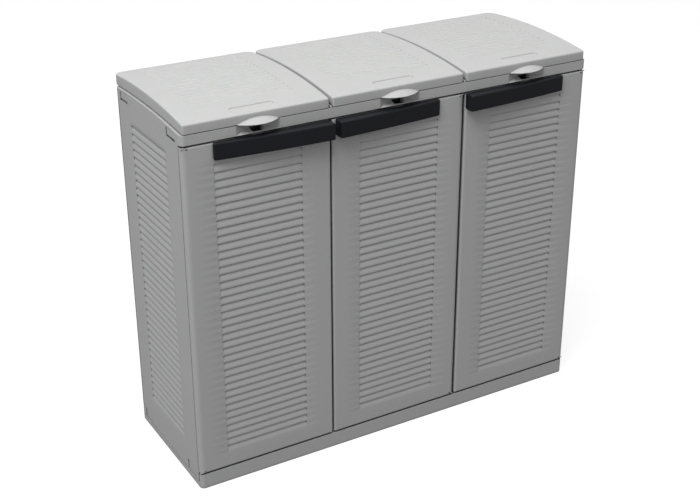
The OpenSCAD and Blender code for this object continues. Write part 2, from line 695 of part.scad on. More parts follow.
module lid(i) {
    color(lid_grey) placed() translate([i * lid_pitch, 0, 0]) difference() {
        union() {
            difference() {
                intersection() {
                    translate([0, 0, rim_front_z - 10])
                        linear_extrude(lid_crown_z - rim_front_z + 12) lid_plan(0);
                    below_crown(lid_r, lid_crown_z);
                }
                below_crown(rim_r + rim_drop, rim_crown_z + rim_drop);
                intersection() {
                    translate([0, 0, rim_front_z - 20])
                        linear_extrude(lid_crown_z - rim_front_z + 22) lid_plan(wall);
                    below_crown(lid_r - wall, lid_crown_z - wall);
                }
            }
            // Lugs that carry the rod, just inside the frame's ears
            for (s = [-1, 1]) translate([s * (ear_x - ear_t - ear_gap), 0, 0]) {
                bar_x(ear_r, rod_y, rod_z, -ear_t / 2, ear_t / 2, corner_fn);
                span([-ear_t / 2, rod_y - ear_r, rod_z],
                     [ear_t / 2, rod_y + ear_r, crown_height(lid_crown_z, lid_r, rod_y + ear_r) - wall / 2]);
            }
            lid_grip();
            // Backing under the slats
            intersection() {
                span([-lid_louvre_w / 2 - 2, lid_louvre_front - 2, rim_crown_z],
                     [lid_louvre_w / 2 + 2, lid_louvre_back + 2, lid_crown_z]);
                difference() {
                    below_crown(lid_r - 1, lid_crown_z - 1);
                    below_crown(lid_r - wall - 1, lid_crown_z - wall - 1);
                }
            }
        }
        lid_slats();
        for (s = [-1, 1]) translate([s * (ear_x - ear_t), 0, 0]) bar_x(rod_r, rod_y, rod_z, -ear_t, ear_t);
        // Label recess near the front edge
        translate([0, 30, crown_height(lid_crown_z, lid_r, 24) - 1.6]) linear_extrude(10) union() {
            square([86, 13], center = true);
            for (s = [-1, 1]) translate([s * 43, 0]) circle(6.5, $fn = corner_fn);
        }
    }
}

// Slats on the crown: each leaves the surface at its front lip and leans in towards the next
module lid_slats() {
    y0 = lid_louvre_front;
    pitch = (lid_louvre_back - y0) / lid_rows;
    teeth = [for (k = [0:lid_rows - 1]) each [
        [y0 + k * pitch, crown_height(lid_crown_z, lid_r, y0 + k * pitch)],
        [y0 + (k + 1) * pitch, crown_height(lid_crown_z, lid_r, y0 + (k + 1) * pitch) - lid_louvre_depth]]];
    rotate([90, 0, 90]) translate([0, 0, -lid_louvre_w / 2]) linear_extrude(lid_louvre_w)
        polygon(concat(teeth, [[lid_louvre_back, lid_crown_z + 5], [y0, lid_crown_z + 5]]));
}

// Finger grip: the part of a hollow ball cap that stands out from the lid's front skirt
module lid_grip() {
    intersection() {
        translate([0, grip_back, grip_z - grip_low]) difference() {
            sphere(grip_sphere, $fn = 2 * corner_fn);
            sphere(grip_sphere - wall, $fn = 2 * corner_fn);
        }
        span([-grip_w, -grip_reach - 5, rim_front_z + rim_drop], [grip_w, 2, grip_z + 2 * grip_slope]);
    }
}

module lid_rod(i) {
    color(steel_grey) placed()
        bar_x(rod_r, rod_y, rod_z, i * lid_pitch - rod_half, i * lid_pitch + rod_half);
}

// ---- bag holders ----

module ring(outer, outer_y, z, t) {
    difference() {
        span([-outer[0] / 2, outer_y, z], [outer[0] / 2, outer_y + outer[1], z + t]);
        span([-throat[0] / 2, throat_y, z - bite], [throat[0] / 2, throat_y + throat[1], z + t + bite]);
    }
}

module bag_frame(i) {
    z = ledge_z + wall + slip;
    color(holder_grey) placed() translate([i * lid_pitch, 0, 0]) difference() {
        union() {
            ring(bag_plate, bag_plate_y, z, frame_t);
            difference() {
                span([-throat[0] / 2 - wall, throat_y - wall, z - collar_h],
                     [throat[0] / 2 + wall, throat_y + throat[1] + wall, z + bite]);
                span([-throat[0] / 2, throat_y, z - collar_h - bite],
                     [throat[0] / 2, throat_y + throat[1], z + 2 * bite]);
            }
            for (s = [-1, 1]) translate([s * clamp_ear_x, 0, 0]) {
                bar_x(clamp_ear_r, clamp_pin_y, clamp_pin_z, -clamp_ear_t / 2, clamp_ear_t / 2);
                span([-clamp_ear_t / 2, clamp_pin_y - clamp_ear_r, z],
                     [clamp_ear_t / 2, clamp_pin_y + clamp_ear_r, clamp_pin_z]);
            }
        }
        for (s = [-1, 1]) bar_x(clamp_pin_r + run_gap, clamp_pin_y, clamp_pin_z,
                                s * clamp_ear_x - clamp_ear_t, s * clamp_ear_x + clamp_ear_t);
    }
}

module bag_clamp(i) {
    z = ledge_z + wall + slip + frame_t + clamp_gap;
    lug_x = clamp_ear_x - clamp_ear_t - ear_gap;
    color(holder_grey) placed() translate([i * lid_pitch, 0, 0]) difference() {
        union() {
            difference() {
                ring(clamp_w, clamp_y, z, clamp_t);
                for (s = [-1, 1]) translate([s * clamp_ear_x, clamp_pin_y - clamp_ear_r - 1.5, z - bite])
                    span([-clamp_ear_t / 2 - 1, 0, 0], [clamp_ear_t / 2 + 1, cabinet_d, clamp_t + 2 * bite]);
            }
            for (s = [-1, 1]) translate([s * lug_x, 0, 0]) {
                bar_x(clamp_ear_r, clamp_pin_y, clamp_pin_z, -clamp_ear_t / 2, clamp_ear_t / 2);
                span([-clamp_ear_t / 2, throat_y + throat[1] + 1, z],
                     [clamp_ear_t / 2, clamp_pin_y, z + clamp_t + 2]);
            }
            // Finger tab at the front
            span([-20, clamp_y + 4, z], [20, clamp_y + 8, z + clamp_t + 6]);
        }
        for (s = [-1, 1]) bar_x(clamp_pin_r, clamp_pin_y, clamp_pin_z,
                                s * lug_x - clamp_ear_t, s * lug_x + clamp_ear_t);
    }
}

module clamp_pins(i) {
    lug_x = clamp_ear_x - clamp_ear_t - ear_gap;
    color(steel_grey) placed() translate([i * lid_pitch, 0, 0])
        for (s = [-1, 1]) mirror([s < 0 ? 1 : 0, 0, 0])
            bar_x(clamp_pin_r, clamp_pin_y, clamp_pin_z,
                  lug_x - clamp_ear_t / 2, clamp_ear_x + clamp_ear_t / 2 + 1);
}

base_tray();
side_panel(-1);  // left_side_panel
side_panel(1);  // right_side_panel
divider(-bay_w / 2);  // left_divider
divider(bay_w / 2);  // right_divider
divider_post(-bay_w / 2);  // left_divider_post
divider_post(bay_w / 2);  // right_divider_post
outer_back_panel(-1);  // left_back_panel
middle_back_panel();
outer_back_panel(1);  // right_back_panel
top_frame();
door(0);  // left_door
door(1);  // middle_door
door(2);  // right_door
handle(0);  // left_handle
handle(1);  // middle_handle
handle(2);  // right_handle
handle_screws(0);  // left_handle_screws
handle_screws(1);  // middle_handle_screws
handle_screws(2);  // right_handle_screws
door_pins(0);  // left_door_pins
door_pins(1);  // middle_door_pins
door_pins(2);  // right_door_pins
strike_plate(0);  // left_strike_plate
strike_plate(1);  // middle_strike_plate
strike_plate(2);  // right_strike_plate
door_magnet(0);  // left_door_magnet
door_magnet(1);  // middle_door_magnet
door_magnet(2);  // right_door_magnet
lid(-1);  // left_lid
lid(0);  // middle_lid
lid(1);  // right_lid
lid_rod(-1);  // left_lid_rod
lid_rod(0);  // middle_lid_rod
lid_rod(1);  // right_lid_rod
bag_frame(-1);  // left_bag_frame
bag_frame(0);  // middle_bag_frame
bag_frame(1);  // right_bag_frame
bag_clamp(-1);  // left_bag_clamp
bag_clamp(0);  // middle_bag_clamp
bag_clamp(1);  // right_bag_clamp
clamp_pins(-1);  // left_clamp_pins
clamp_pins(0);  // middle_clamp_pins
clamp_pins(1);  // right_clamp_pins
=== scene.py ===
# %% [markdown]
# # A three-bay recycling cabinet, dressed for its portrait
# The solid model gives every piece its place and every joint its axis. This notebook gives the
# cabinet its looks: the visible mouldings are rebuilt as fine surfaces with rolled edges and sharp
# slats, and each material gets the grain, gloss and small unevenness of the real one.
# Everything is in metres, with the floor at z = 0 and the doors facing -y.

# %% Load the frame
import math
import bmesh
import bpy
import numpy as np
from mathutils import Matrix, Vector


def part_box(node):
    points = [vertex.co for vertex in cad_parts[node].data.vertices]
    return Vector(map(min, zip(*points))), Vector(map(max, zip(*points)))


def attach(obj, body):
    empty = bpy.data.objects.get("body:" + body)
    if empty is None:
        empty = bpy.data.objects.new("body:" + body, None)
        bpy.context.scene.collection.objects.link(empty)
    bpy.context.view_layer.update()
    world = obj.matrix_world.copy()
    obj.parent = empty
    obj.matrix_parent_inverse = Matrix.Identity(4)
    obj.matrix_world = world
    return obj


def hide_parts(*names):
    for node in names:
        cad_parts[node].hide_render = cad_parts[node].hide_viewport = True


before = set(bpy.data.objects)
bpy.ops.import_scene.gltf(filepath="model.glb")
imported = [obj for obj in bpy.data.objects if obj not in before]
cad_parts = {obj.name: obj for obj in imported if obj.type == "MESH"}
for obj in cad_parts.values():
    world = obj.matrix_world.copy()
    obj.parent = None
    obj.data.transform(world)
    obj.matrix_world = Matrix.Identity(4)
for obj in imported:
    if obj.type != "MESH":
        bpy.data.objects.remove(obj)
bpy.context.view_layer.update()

# %% [markdown]
# ## Measures shared by the pieces
# A rebuilt piece has to sit exactly where its solid does, so outer sizes are read from the solids'
# boxes. Only what a box can't tell, such as the slats' pitch, is written down here. Millimetres are
# easier to think in than metres for mouldings, so pieces are worked out in millimetres, with y
# counted from the door faces, and turned into metres when the mesh is made.

# %% Shared measures
def box_mm(node):
    """A node's box in millimetres, with y counted from the door faces."""
    low, high = (np.array(v) * 1000.0 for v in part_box(node))
    shift = np.array([0.0, front_y, 0.0])
    return low - shift, high - shift

front_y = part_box("base_tray")[0].y * 1000.0
SIDES = ("left", "middle", "right")
WALL = 3.0
BODY_W = box_mm("base_tray")[1][0] * 2
BODY_D = box_mm("base_tray")[1][1]
SLAT_ROWS, SLAT_FIELD, SLAT_DEPTH = 39, 690.0, 2.6
CROWN_Y = 215.0
print("body", BODY_W, "x", BODY_D, "mm, doors at y =", front_y, "mm")

# %% [markdown]
# ## The crown of the lids and of the frame
# Seen from the side, the lids are a shallow arch, and so is the edge of the frame they rest on. An
# arch like this could be traced by hand, but a circle through two known heights is exact: with a
# rise h from the front edge to the crown, a distance c away, its radius is (c^2 + h^2) / 2h.

# %% Arches
def arch(y, crown_z, rise):
    """Height at y of a circular arch whose crown, at CROWN_Y, is `rise` above its height at y = 0."""
    radius = (CROWN_Y ** 2 + rise ** 2) / (2 * rise)
    return crown_z - radius + np.sqrt(radius ** 2 - (np.asarray(y, float) - CROWN_Y) ** 2)

LID_CROWN_Z = box_mm("middle_lid")[1][2]
LID_RISE, RIM_RISE, RIM_OVER_FRAME_FOOT = 15.5, 10.0, 32.5
RIM_CROWN_Z = box_mm("top_frame")[0][2] + RIM_OVER_FRAME_FOOT

def lid_top(y):
    """The lid's upper surface."""
    return arch(y, LID_CROWN_Z, LID_RISE)

def rim(y):
    """The line where lids and frame part."""
    return arch(y, RIM_CROWN_Z, RIM_RISE)

print("lid front edge", round(float(lid_top(0)), 2), "crown", round(LID_CROWN_Z, 2),
      "rim", round(float(rim(0)), 2))

# %% [markdown]
# ## One recipe for moulded panels
# Doors, lids, side panels and handles are all the same kind of thing: a face with a rolled edge and
# a wall turned back behind it, about 3 mm thick all over. Such a shell could be a box with a bevel,
# but a bevel can't follow a hinge barrel on one side and a tight edge on the other. So a panel is
# computed: a grid for the face, whose height is any function, and rings that walk round the grid's
# border and follow each side's own edge section outwards, round the rim and back to the inner face.

# %% Walking round a panel
def border_walk(nu, nv, stops=7):
    """Grid indices and outward angles along a grid's border, counter-clockwise from its low corner.
    At each corner the walk stands still for `stops` steps while the direction turns a quarter."""
    turn = np.linspace(0, np.pi / 2, stops)
    i, j = np.arange(nu), np.arange(nv)
    full = np.full
    parts = [
        (i, full(nu, 0), full(nu, -np.pi / 2)),
        (full(stops, nu - 1), full(stops, 0), turn - np.pi / 2),
        (full(nv, nu - 1), j, full(nv, 0.0)),
        (full(stops, nu - 1), full(stops, nv - 1), turn),
        (i[::-1], full(nu, nv - 1), full(nu, np.pi / 2)),
        (full(stops, 0), full(stops, nv - 1), turn + np.pi / 2),
        (full(nv, 0), j[::-1], full(nv, np.pi)),
        (full(stops, 0), full(stops, 0), turn + np.pi),
    ]
    sizes = [len(p[0]) for p in parts]
    is_corner = np.repeat([False, True] * 4, sizes)
    return (*(np.concatenate([p[k] for p in parts]) for k in range(3)), is_corner)

def edge_section(radius, depth, wall=WALL, round_back=False, arc=7):
    """A side's section as (distance in from the outline, depth behind the face), from the face round
    the outer edge to the rim and back inside. A quarter circle turns the edge; with round_back it
    is a half circle, a hinge barrel."""
    if round_back:
        a = np.linspace(0, np.pi, arc + 2)
        outer = np.stack([radius - radius * np.sin(a), radius - radius * np.cos(a)], 1)
        r = radius - wall
        inner = np.stack([radius - r * np.sin(a), radius - r * np.cos(a)], 1)[::-1]
    else:
        a = np.linspace(0, np.pi / 2, arc)
        outer = np.stack([radius - radius * np.sin(a), radius - radius * np.cos(a)], 1)
        outer = np.vstack([outer, [[0, max(depth * 0.5, radius)], [0, depth]]])
        r = max(radius - wall, 0.3)
        inner = np.stack([wall + r - r * np.sin(a), wall + r - r * np.cos(a)], 1)
        inner = np.vstack([inner, [[wall, max(depth * 0.5, wall + r)], [wall, max(depth, wall + r)]]])[::-1]
    return np.vstack([outer, inner])

print("an edge section has", len(edge_section(5, 20)), "points")

# %% [markdown]
# ### Rings joined to two grids
# Every ring has as many points as the walk round the border, so each joins to the next with a plain
# band of quads, and the first and last join to the borders of the outer and the inner face. A
# window could be cut with a boolean, but leaving out the same cells of both faces and walling the
# hole keeps the grid clean.

# %% The panel recipe
def panel(us, vs, outline, face, back, sections, corner, place, holes=None):
    """A closed moulded shell. us and vs are the face's grid lines; outline is (u0, u1, v0, v1);
    face(U, V) and back(U, V) are depths of the outer and inner faces; sections are the edge sections
    of the low-u, high-u, low-v and high-v sides; corner is the outline's radius at the corners
    (low u low v, high-low, high-high, low-high); place turns (u, v, depth) into points.
    A ring's point is the outline moved in by its side's inset; at a corner it runs on an arc whose
    radius is the corner's less the inset, and its depth blends from one side's to the other's by
    the squares of the direction's components. holes marks grid cells cut through both faces."""
    nu, nv = len(us), len(vs)
    U, V = np.meshgrid(us, vs, indexing="ij")
    i, j, angle, is_corner = border_walk(nu, nv)
    n = np.stack([np.cos(angle), np.sin(angle)])
    high_u = np.where(is_corner, i == nu - 1, n[0] > 0.5)
    high_v = np.where(is_corner, j == nv - 1, n[1] > 0.5)
    radius = np.array(corner)[np.where(high_v, np.where(high_u, 2, 3), np.where(high_u, 1, 0))]
    weight = np.where(is_corner, n[0] ** 2, (np.abs(n[0]) > 0.5) * 1.0)
    points, rows = [np.stack([U, V, face(U, V)], -1).reshape(-1, 3)], [i * nv + j]
    for k in range(len(sections[0])):
        in_u = np.where(high_u, sections[1][k, 0], sections[0][k, 0])
        in_v = np.where(high_v, sections[3][k, 0], sections[2][k, 0])
        depth = weight * np.where(high_u, sections[1][k, 1], sections[0][k, 1]) \
            + (1 - weight) * np.where(high_v, sections[3][k, 1], sections[2][k, 1])
        r = np.clip(radius - np.minimum(in_u, in_v), 0, None)
        cu = in_u + np.where(is_corner, r * (1 - np.abs(n[0])), 0)
        cv = in_v + np.where(is_corner, r * (1 - np.abs(n[1])), 0)
        u = np.where(high_u, outline[1] - cu, outline[0] + cu)
        v = np.where(high_v, outline[3] - cv, outline[2] + cv)
        along_u = ~is_corner & (np.abs(n[1]) > 0.5)
        along_v = ~is_corner & (np.abs(n[0]) > 0.5)
        u, v = np.where(along_u, us[i], u), np.where(along_v, vs[j], v)
        points.append(np.stack([u, v, depth], -1))
        rows.append(nu * nv + k * len(i) + np.arange(len(i)))
    start = nu * nv + len(sections[0]) * len(i)
    points.append(np.stack([U, V, back(U, V)], -1).reshape(-1, 3))
    rows.append(start + i * nv + j)
    rows = np.array(rows)
    after = np.roll(rows, -1, axis=1)
    rings = np.stack([rows[:-1], rows[1:], after[1:], after[:-1]], -1).reshape(-1, 4)
    cell = (np.arange(nu - 1)[:, None] * nv + np.arange(nv - 1)[None, :])
    quads = np.stack([cell, cell + nv, cell + nv + 1, cell + 1], -1)
    cut = np.zeros((nu - 1, nv - 1), bool) if holes is None else holes(
        (us[:-1] + us[1:])[:, None] / 2, (vs[:-1] + vs[1:])[None, :] / 2)
    kept = quads[~cut]
    faces = [kept, kept[:, ::-1] + start, rings]
    for axis in (0, 1):
        changes = np.argwhere(np.diff(cut.astype(int), axis=axis) != 0)
        if len(changes):
            a = (changes[:, 0] + (axis == 0)) * nv + changes[:, 1] + (axis == 1)
            b = a + (1 if axis == 0 else nv)
            faces.append(np.stack([a, b, b + start, a + start], -1))
    flat = np.vstack(points)
    return place(flat[:, 0], flat[:, 1], flat[:, 2]), np.vstack(faces)

# %% [markdown]
# ## From numbers to a piece
# Numbers become a mesh once, in one place: doubles at corners are merged, the normals are turned
# outwards, edges sharper than a limit stay sharp and the rest is smooth. The piece then rides on
# its body and stands for the solid it copies. The count of edges that don't have just two faces is
# printed, because it shows where a shell is not closed.

# %% Making a piece
DOUBLES = 2e-6

def merge(*shells):
    """Several (points, quads) as one: each one's quads count on from the points before it."""
    starts = np.cumsum([0] + [len(p) for p, _ in shells[:-1]])
    quads = np.vstack([q + start for (_, q), start in zip(shells, starts)])
    return np.vstack([p for p, _ in shells]), quads

def make_piece(name, shell, body, material, nodes=(), sharp=40):
    """A finished object from (points, quads): a point is shifted back to the frame's y, then divided
    by 1000 to give metres. An edge stays sharp where its faces turn by more than sharp degrees."""
    points, quads = shell
    mesh = bpy.data.meshes.new(name)
    metres = (points + np.array([0.0, front_y, 0.0])) / 1000.0
    mesh.from_pydata(metres.tolist(), [], quads.tolist())
    work = bmesh.new()
    work.from_mesh(mesh)
    bmesh.ops.remove_doubles(work, verts=work.verts, dist=DOUBLES)
    bmesh.ops.dissolve_degenerate(work, edges=work.edges, dist=DOUBLES / 2)
    bmesh.ops.recalc_face_normals(work, faces=work.faces)
    open_edges = sum(1 for e in work.edges if len(e.link_faces) != 2)
    work.to_mesh(mesh)
    work.free()
    mesh.polygons.foreach_set("use_smooth", np.ones(len(mesh.polygons), bool))
    mesh.set_sharp_from_angle(angle=math.radians(sharp))
    mesh.materials.append(material)
    piece = bpy.data.objects.new(name, mesh)
    bpy.context.scene.collection.objects.link(piece)
    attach(piece, body)
    if nodes:
        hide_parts(*nodes)
    print(f"{name}: {len(mesh.polygons)} faces, {open_edges} edges not shared by two")

# %% [markdown]
# ### Bosses, lugs and flanges
# Mouldings carry small solid features behind their faces: bosses for screws and pins, lugs for a
# rod, stiffening flanges. Two shapes cover them all, a bar with rounded corners standing upright and
# a round rod between two points. Both are a ring of points carried along a line and closed by caps.

# %% Bars and rods
def strip(x0, x1, y0, y1, z0, z1, r=0.6):
    """An upright bar: a rectangle with corners rounded by r, carried from z0 to z1 and capped flat."""
    a = np.linspace(0, 2 * np.pi, 16, endpoint=False) + np.pi / 16
    cx, cy = np.where(np.cos(a) > 0, x1 - r, x0 + r), np.where(np.sin(a) > 0, y1 - r, y0 + r)
    ring = np.stack([cx + r * np.cos(a), cy + r * np.sin(a)], -1)
    inner = np.stack([np.full(16, (x0 + x1) / 2), np.full(16, (y0 + y1) / 2)], -1)
    layers = [(inner, z0), (ring, z0), (ring, z1), (inner, z1)]
    points = np.vstack([np.column_stack([p, np.full(16, z)]) for p, z in layers])
    return points, tube_quads(len(layers), 16)

def rod(start, end, radius, count=32):
    """A round rod from start to end: circles across the line between them, the first and last shrunk
    to a point to close it."""
    start, end = np.array(start, float), np.array(end, float)
    along = (end - start) / np.linalg.norm(end - start)
    side = np.cross(along, [0.31, 0.53, 0.79])
    side /= np.linalg.norm(side)
    a = np.linspace(0, 2 * np.pi, count, endpoint=False)[:, None]
    circle = np.cos(a) * side + np.sin(a) * np.cross(along, side)
    rings = ((start, 0), (start, radius), (end, radius), (end, 0))
    points = np.vstack([at + circle * r for at, r in rings])
    return points, tube_quads(4, count)

def tube_quads(layers, count):
    """The quads between neighbouring rings of a tube."""
    k, i = np.arange(layers - 1)[:, None] * count, np.arange(count)[None, :]
    j = (i + 1) % count
    return np.stack([k + i, k + j, k + count + j, k + count + i], -1).reshape(-1, 4)

print("a rod has", len(rod((0, 0, 0), (0, 0, 1), 1)[1]), "quads")

# %% [markdown]
# ## Effects that several plastics share
# A moulded part is never one flat colour. Its tool leaves a fine grain that breaks up the gloss, the
# melt leaves faint clouds of tone, and hands and air leave dust on what faces up. Each effect is a
# small node group with its own knobs, so that every plastic can use it in its own measure. A picture
# texture could do the same, but it would have to be unwrapped and would blur when seen close.

# %% Node group helpers
def new_group(name, inputs, outputs):
    """An empty shader node group, with float inputs (name: default) and outputs (name: type)."""
    tree = bpy.data.node_groups.new(name, "ShaderNodeTree")
    for label, value in inputs.items():
        socket = tree.interface.new_socket(name=label, in_out="INPUT", socket_type="NodeSocketFloat")
        socket.default_value = value
    for label, kind in outputs.items():
        tree.interface.new_socket(name=label, in_out="OUTPUT", socket_type=kind)
    return tree, tree.nodes.new("NodeGroupInput"), tree.nodes.new("NodeGroupOutput")

def add(tree, kind, inputs=(), **settings):
    """A node with its settings; inputs maps a socket to a value, or to another node's output to link."""
    node = tree.nodes.new(kind)
    for key, value in settings.items():
        setattr(node, key, value)
    for key, value in dict(inputs).items():
        if isinstance(value, bpy.types.NodeSocket):
            tree.links.new(value, node.inputs[key])
        else:
            node.inputs[key].default_value = value
    return node

def maths(tree, operation, a, b, clamp=False):
    """The output of a Math node on a and b, each a number or another node's output."""
    return add(tree, "ShaderNodeMath", {0: a, 1: b}, operation=operation, use_clamp=clamp).outputs[0]

# %% [markdown]
# ### Moulded grain
# The tool of such a cabinet is spark-eroded, which prints a fine pebbled grain about half a
# millimetre across on every face. Two sizes of noise make it: one for the pebbles, one for the
# slower waves between them. It puts out a height for the bump and a small change of roughness.

# %% Moulded grain group
grain_group, g_in, g_out = new_group(
    "moulded grain", {"Pebbles per metre": 1600.0, "Roughness": 0.45, "Spread": 0.08},
    {"Height": "NodeSocketFloat", "Roughness": "NodeSocketFloat"})
coords = add(grain_group, "ShaderNodeTexCoord").outputs["Object"]
pebbles = add(grain_group, "ShaderNodeTexNoise", {
    "Vector": coords, "Scale": g_in.outputs[0], "Detail": 2.0, "Roughness": 0.55})
waves = add(grain_group, "ShaderNodeTexNoise", {"Vector": coords, "Scale": 90.0, "Detail": 3.0})
clouds = add(grain_group, "ShaderNodeTexNoise", {"Vector": coords, "Scale": 7.0, "Detail": 4.0})
height = maths(grain_group, "ADD", pebbles.outputs[0], maths(grain_group, "MULTIPLY", waves.outputs[0], 0.6))
grain_group.links.new(height, g_out.inputs["Height"])
drift = maths(grain_group, "SUBTRACT", clouds.outputs[0], 0.5)
swing = maths(grain_group, "MULTIPLY", drift, g_in.outputs[2])
glints = maths(grain_group, "MULTIPLY", maths(grain_group, "SUBTRACT", pebbles.outputs[0], 0.5), 0.12)
swing = maths(grain_group, "ADD", swing, glints)
grain_group.links.new(maths(grain_group, "ADD", g_in.outputs[1], swing, True), g_out.inputs["Roughness"])
print("group:", grain_group.name)

# %% [markdown]
# ### Tone and dust
# Filled plastic is mottled by the way its colour masterbatch mixes: broad clouds only a per cent or
# two apart, and a fine fleck. Dust settles where a face looks up, unevenly. The group takes a
# base colour's brightness as 1 and puts out a factor to multiply it by, plus a dust mask.

# %% Tone group
tone_group, t_in, t_out = new_group(
    "tone and dust", {"Clouds": 0.03, "Fleck": 0.03, "Dust": 0.15},
    {"Tone": "NodeSocketFloat", "Dust": "NodeSocketFloat"})
coords = add(tone_group, "ShaderNodeTexCoord").outputs["Object"]
broad = add(tone_group, "ShaderNodeTexNoise", {
    "Vector": coords, "Scale": 4.5, "Detail": 5.0, "Roughness": 0.6})
fleck = add(tone_group, "ShaderNodeTexNoise", {"Vector": coords, "Scale": 700.0, "Detail": 1.0})
tone = maths(tone_group, "MULTIPLY", maths(tone_group, "SUBTRACT", broad.outputs[0], 0.5), t_in.outputs[0])
spots = maths(tone_group, "MULTIPLY", maths(tone_group, "SUBTRACT", fleck.outputs[0], 0.5), t_in.outputs[1])
factor = maths(tone_group, "ADD", maths(tone_group, "ADD", tone, spots), 1.0)
tone_group.links.new(factor, t_out.inputs["Tone"])
normal = add(tone_group, "ShaderNodeNewGeometry").outputs["Normal"]
up = add(tone_group, "ShaderNodeSeparateXYZ", {0: normal}).outputs[2]
settled = add(tone_group, "ShaderNodeTexNoise", {
    "Vector": coords, "Scale": 22.0, "Detail": 6.0, "Roughness": 0.7}).outputs[0]
facing = add(tone_group, "ShaderNodeMapRange", {"Value": up, "From Min": 0.6, "From Max": 1.0}).outputs[0]
patchy = add(tone_group, "ShaderNodeMapRange", {
    "Value": settled, "From Min": 0.35, "From Max": 0.7}).outputs[0]
mask = maths(tone_group, "MULTIPLY", maths(tone_group, "MULTIPLY", facing, patchy), t_in.outputs[2], True)
tone_group.links.new(mask, t_out.inputs["Dust"])
print("group:", tone_group.name)

# %% [markdown]
# ### Painted edge highlights and painted shade in gaps
# Edges get a painted highlight: they are made a little paler, where the light catches them, and a
# little smoother. Gaps and seams get painted shade: they are made darker. A bevel node bends the
# normal near an edge, and how far it bends tells how close the edge is. An ambient occlusion node
# tells how shut in a point is. The bent normal is passed on too, so that the solids' crisp edges
# look moulded with a small radius.

# %% Edge group
edge_group, e_in, e_out = new_group(
    "edges and gaps", {"Radius": 0.0012, "Reach": 0.008},
    {"Painted edge highlight and polish": "NodeSocketFloat", "Painted gap shade": "NodeSocketFloat", "Normal": "NodeSocketVector"})
bent = add(edge_group, "ShaderNodeBevel", {"Radius": e_in.outputs["Radius"]}, samples=4).outputs[0]
straight = add(edge_group, "ShaderNodeNewGeometry").outputs["Normal"]
along = add(edge_group, "ShaderNodeVectorMath", {0: bent, 1: straight},
            operation="DOT_PRODUCT").outputs["Value"]
coords = add(edge_group, "ShaderNodeTexCoord").outputs["Object"]
chatter = add(edge_group, "ShaderNodeTexNoise", {"Vector": coords, "Scale": 140.0, "Detail": 4.0}).outputs[0]
# The edge mask paints a highlight: the colour is made paler near an edge. The same mask makes the edge
# smoother.
near_edge = add(edge_group, "ShaderNodeMapRange", {
    "Value": along, "From Min": 0.995, "From Max": 0.9}).outputs[0]
broken = add(edge_group, "ShaderNodeMapRange", {
    "Value": chatter, "From Min": 0.3, "From Max": 0.6}).outputs[0]
edge_group.links.new(maths(edge_group, "MULTIPLY", near_edge, broken, True), e_out.inputs["Painted edge highlight and polish"])
# The occlusion mask paints shade: the colour is made darker where a point is shut in, in gaps, seams and slat
# recesses.
open_air = add(edge_group, "ShaderNodeAmbientOcclusion", {"Distance": e_in.outputs["Reach"]},
               samples=6).outputs["AO"]
shut_in = add(edge_group, "ShaderNodeMapRange", {
    "Value": open_air, "From Min": 0.8, "From Max": 0.3}).outputs[0]
edge_group.links.new(shut_in, e_out.inputs["Painted gap shade"])
edge_group.links.new(bent, e_out.inputs["Normal"])
print("group:", edge_group.name)

# %% [markdown]
# ### A plastic
# One function makes every plastic from the three groups. The groups give tone, masks, roughness,
# height and normals; the shader itself stays in the material, with its fixed numbers set on it.

# %% Plastics
def plastic(name, colour, roughness=0.45, bump=0.25, pebbles=1600.0, clouds=0.03, fleck=0.03, dust=0.12,
            dust_colour=(0.5, 0.49, 0.47), edge_highlight_and_polish=0.12, painted_gap_shade=0.85, specular=0.45):
    """A moulded plastic: colour times the tone, towards dust_colour by the dust mask, paler along edges by a
    painted highlight, darker in gaps by painted shade, with grain."""
    material = bpy.data.materials.new(name)
    material.use_nodes = True
    tree = material.node_tree
    shader = tree.nodes["Principled BSDF"]
    grain = add(tree, "ShaderNodeGroup", node_tree=grain_group)
    tones = add(tree, "ShaderNodeGroup", node_tree=tone_group)
    edges = add(tree, "ShaderNodeGroup", node_tree=edge_group)
    for node, values in ((grain, (pebbles, roughness, 0.08)), (tones, (clouds, fleck, dust))):
        for socket, value in zip(node.inputs, values):
            socket.default_value = value
    shade = add(tree, "ShaderNodeVectorMath", {0: colour, 3: tones.outputs["Tone"]}, operation="SCALE")
    dusted = add(tree, "ShaderNodeMix", {
        "Factor": tones.outputs["Dust"], 6: shade.outputs[0], 7: (*dust_colour, 1)}, data_type="RGBA")
    # Painted highlight: the colour is made paler along edges. Painted shade: it is made darker in gaps and
    # seams.
    painted_edge_highlight = maths(tree, "ADD", maths(tree, "MULTIPLY", edges.outputs["Painted edge highlight and polish"], edge_highlight_and_polish), 1.0)
    kept = maths(tree, "SUBTRACT", painted_edge_highlight, maths(tree, "MULTIPLY", edges.outputs["Painted gap shade"], painted_gap_shade))
    dusted_with_painted_light = add(tree, "ShaderNodeVectorMath", {0: dusted.outputs[2], 3: kept}, operation="SCALE")
    tree.links.new(dusted_with_painted_light.outputs[0], shader.inputs["Base Color"])
    polish = maths(tree, "MULTIPLY", edges.outputs["Painted edge highlight and polish"], edge_highlight_and_polish)
    smoother = maths(tree, "SUBTRACT", grain.outputs["Roughness"], polish)
    tree.links.new(smoother, shader.inputs["Roughness"])
    relief = add(tree, "ShaderNodeBump", {
        "Strength": bump, "Distance": 0.0002, "Height": grain.outputs["Height"],
        "Normal": edges.outputs["Normal"]})
    tree.links.new(relief.outputs[0], shader.inputs["Normal"])
    shader.inputs["Specular IOR Level"].default_value = specular
    return material

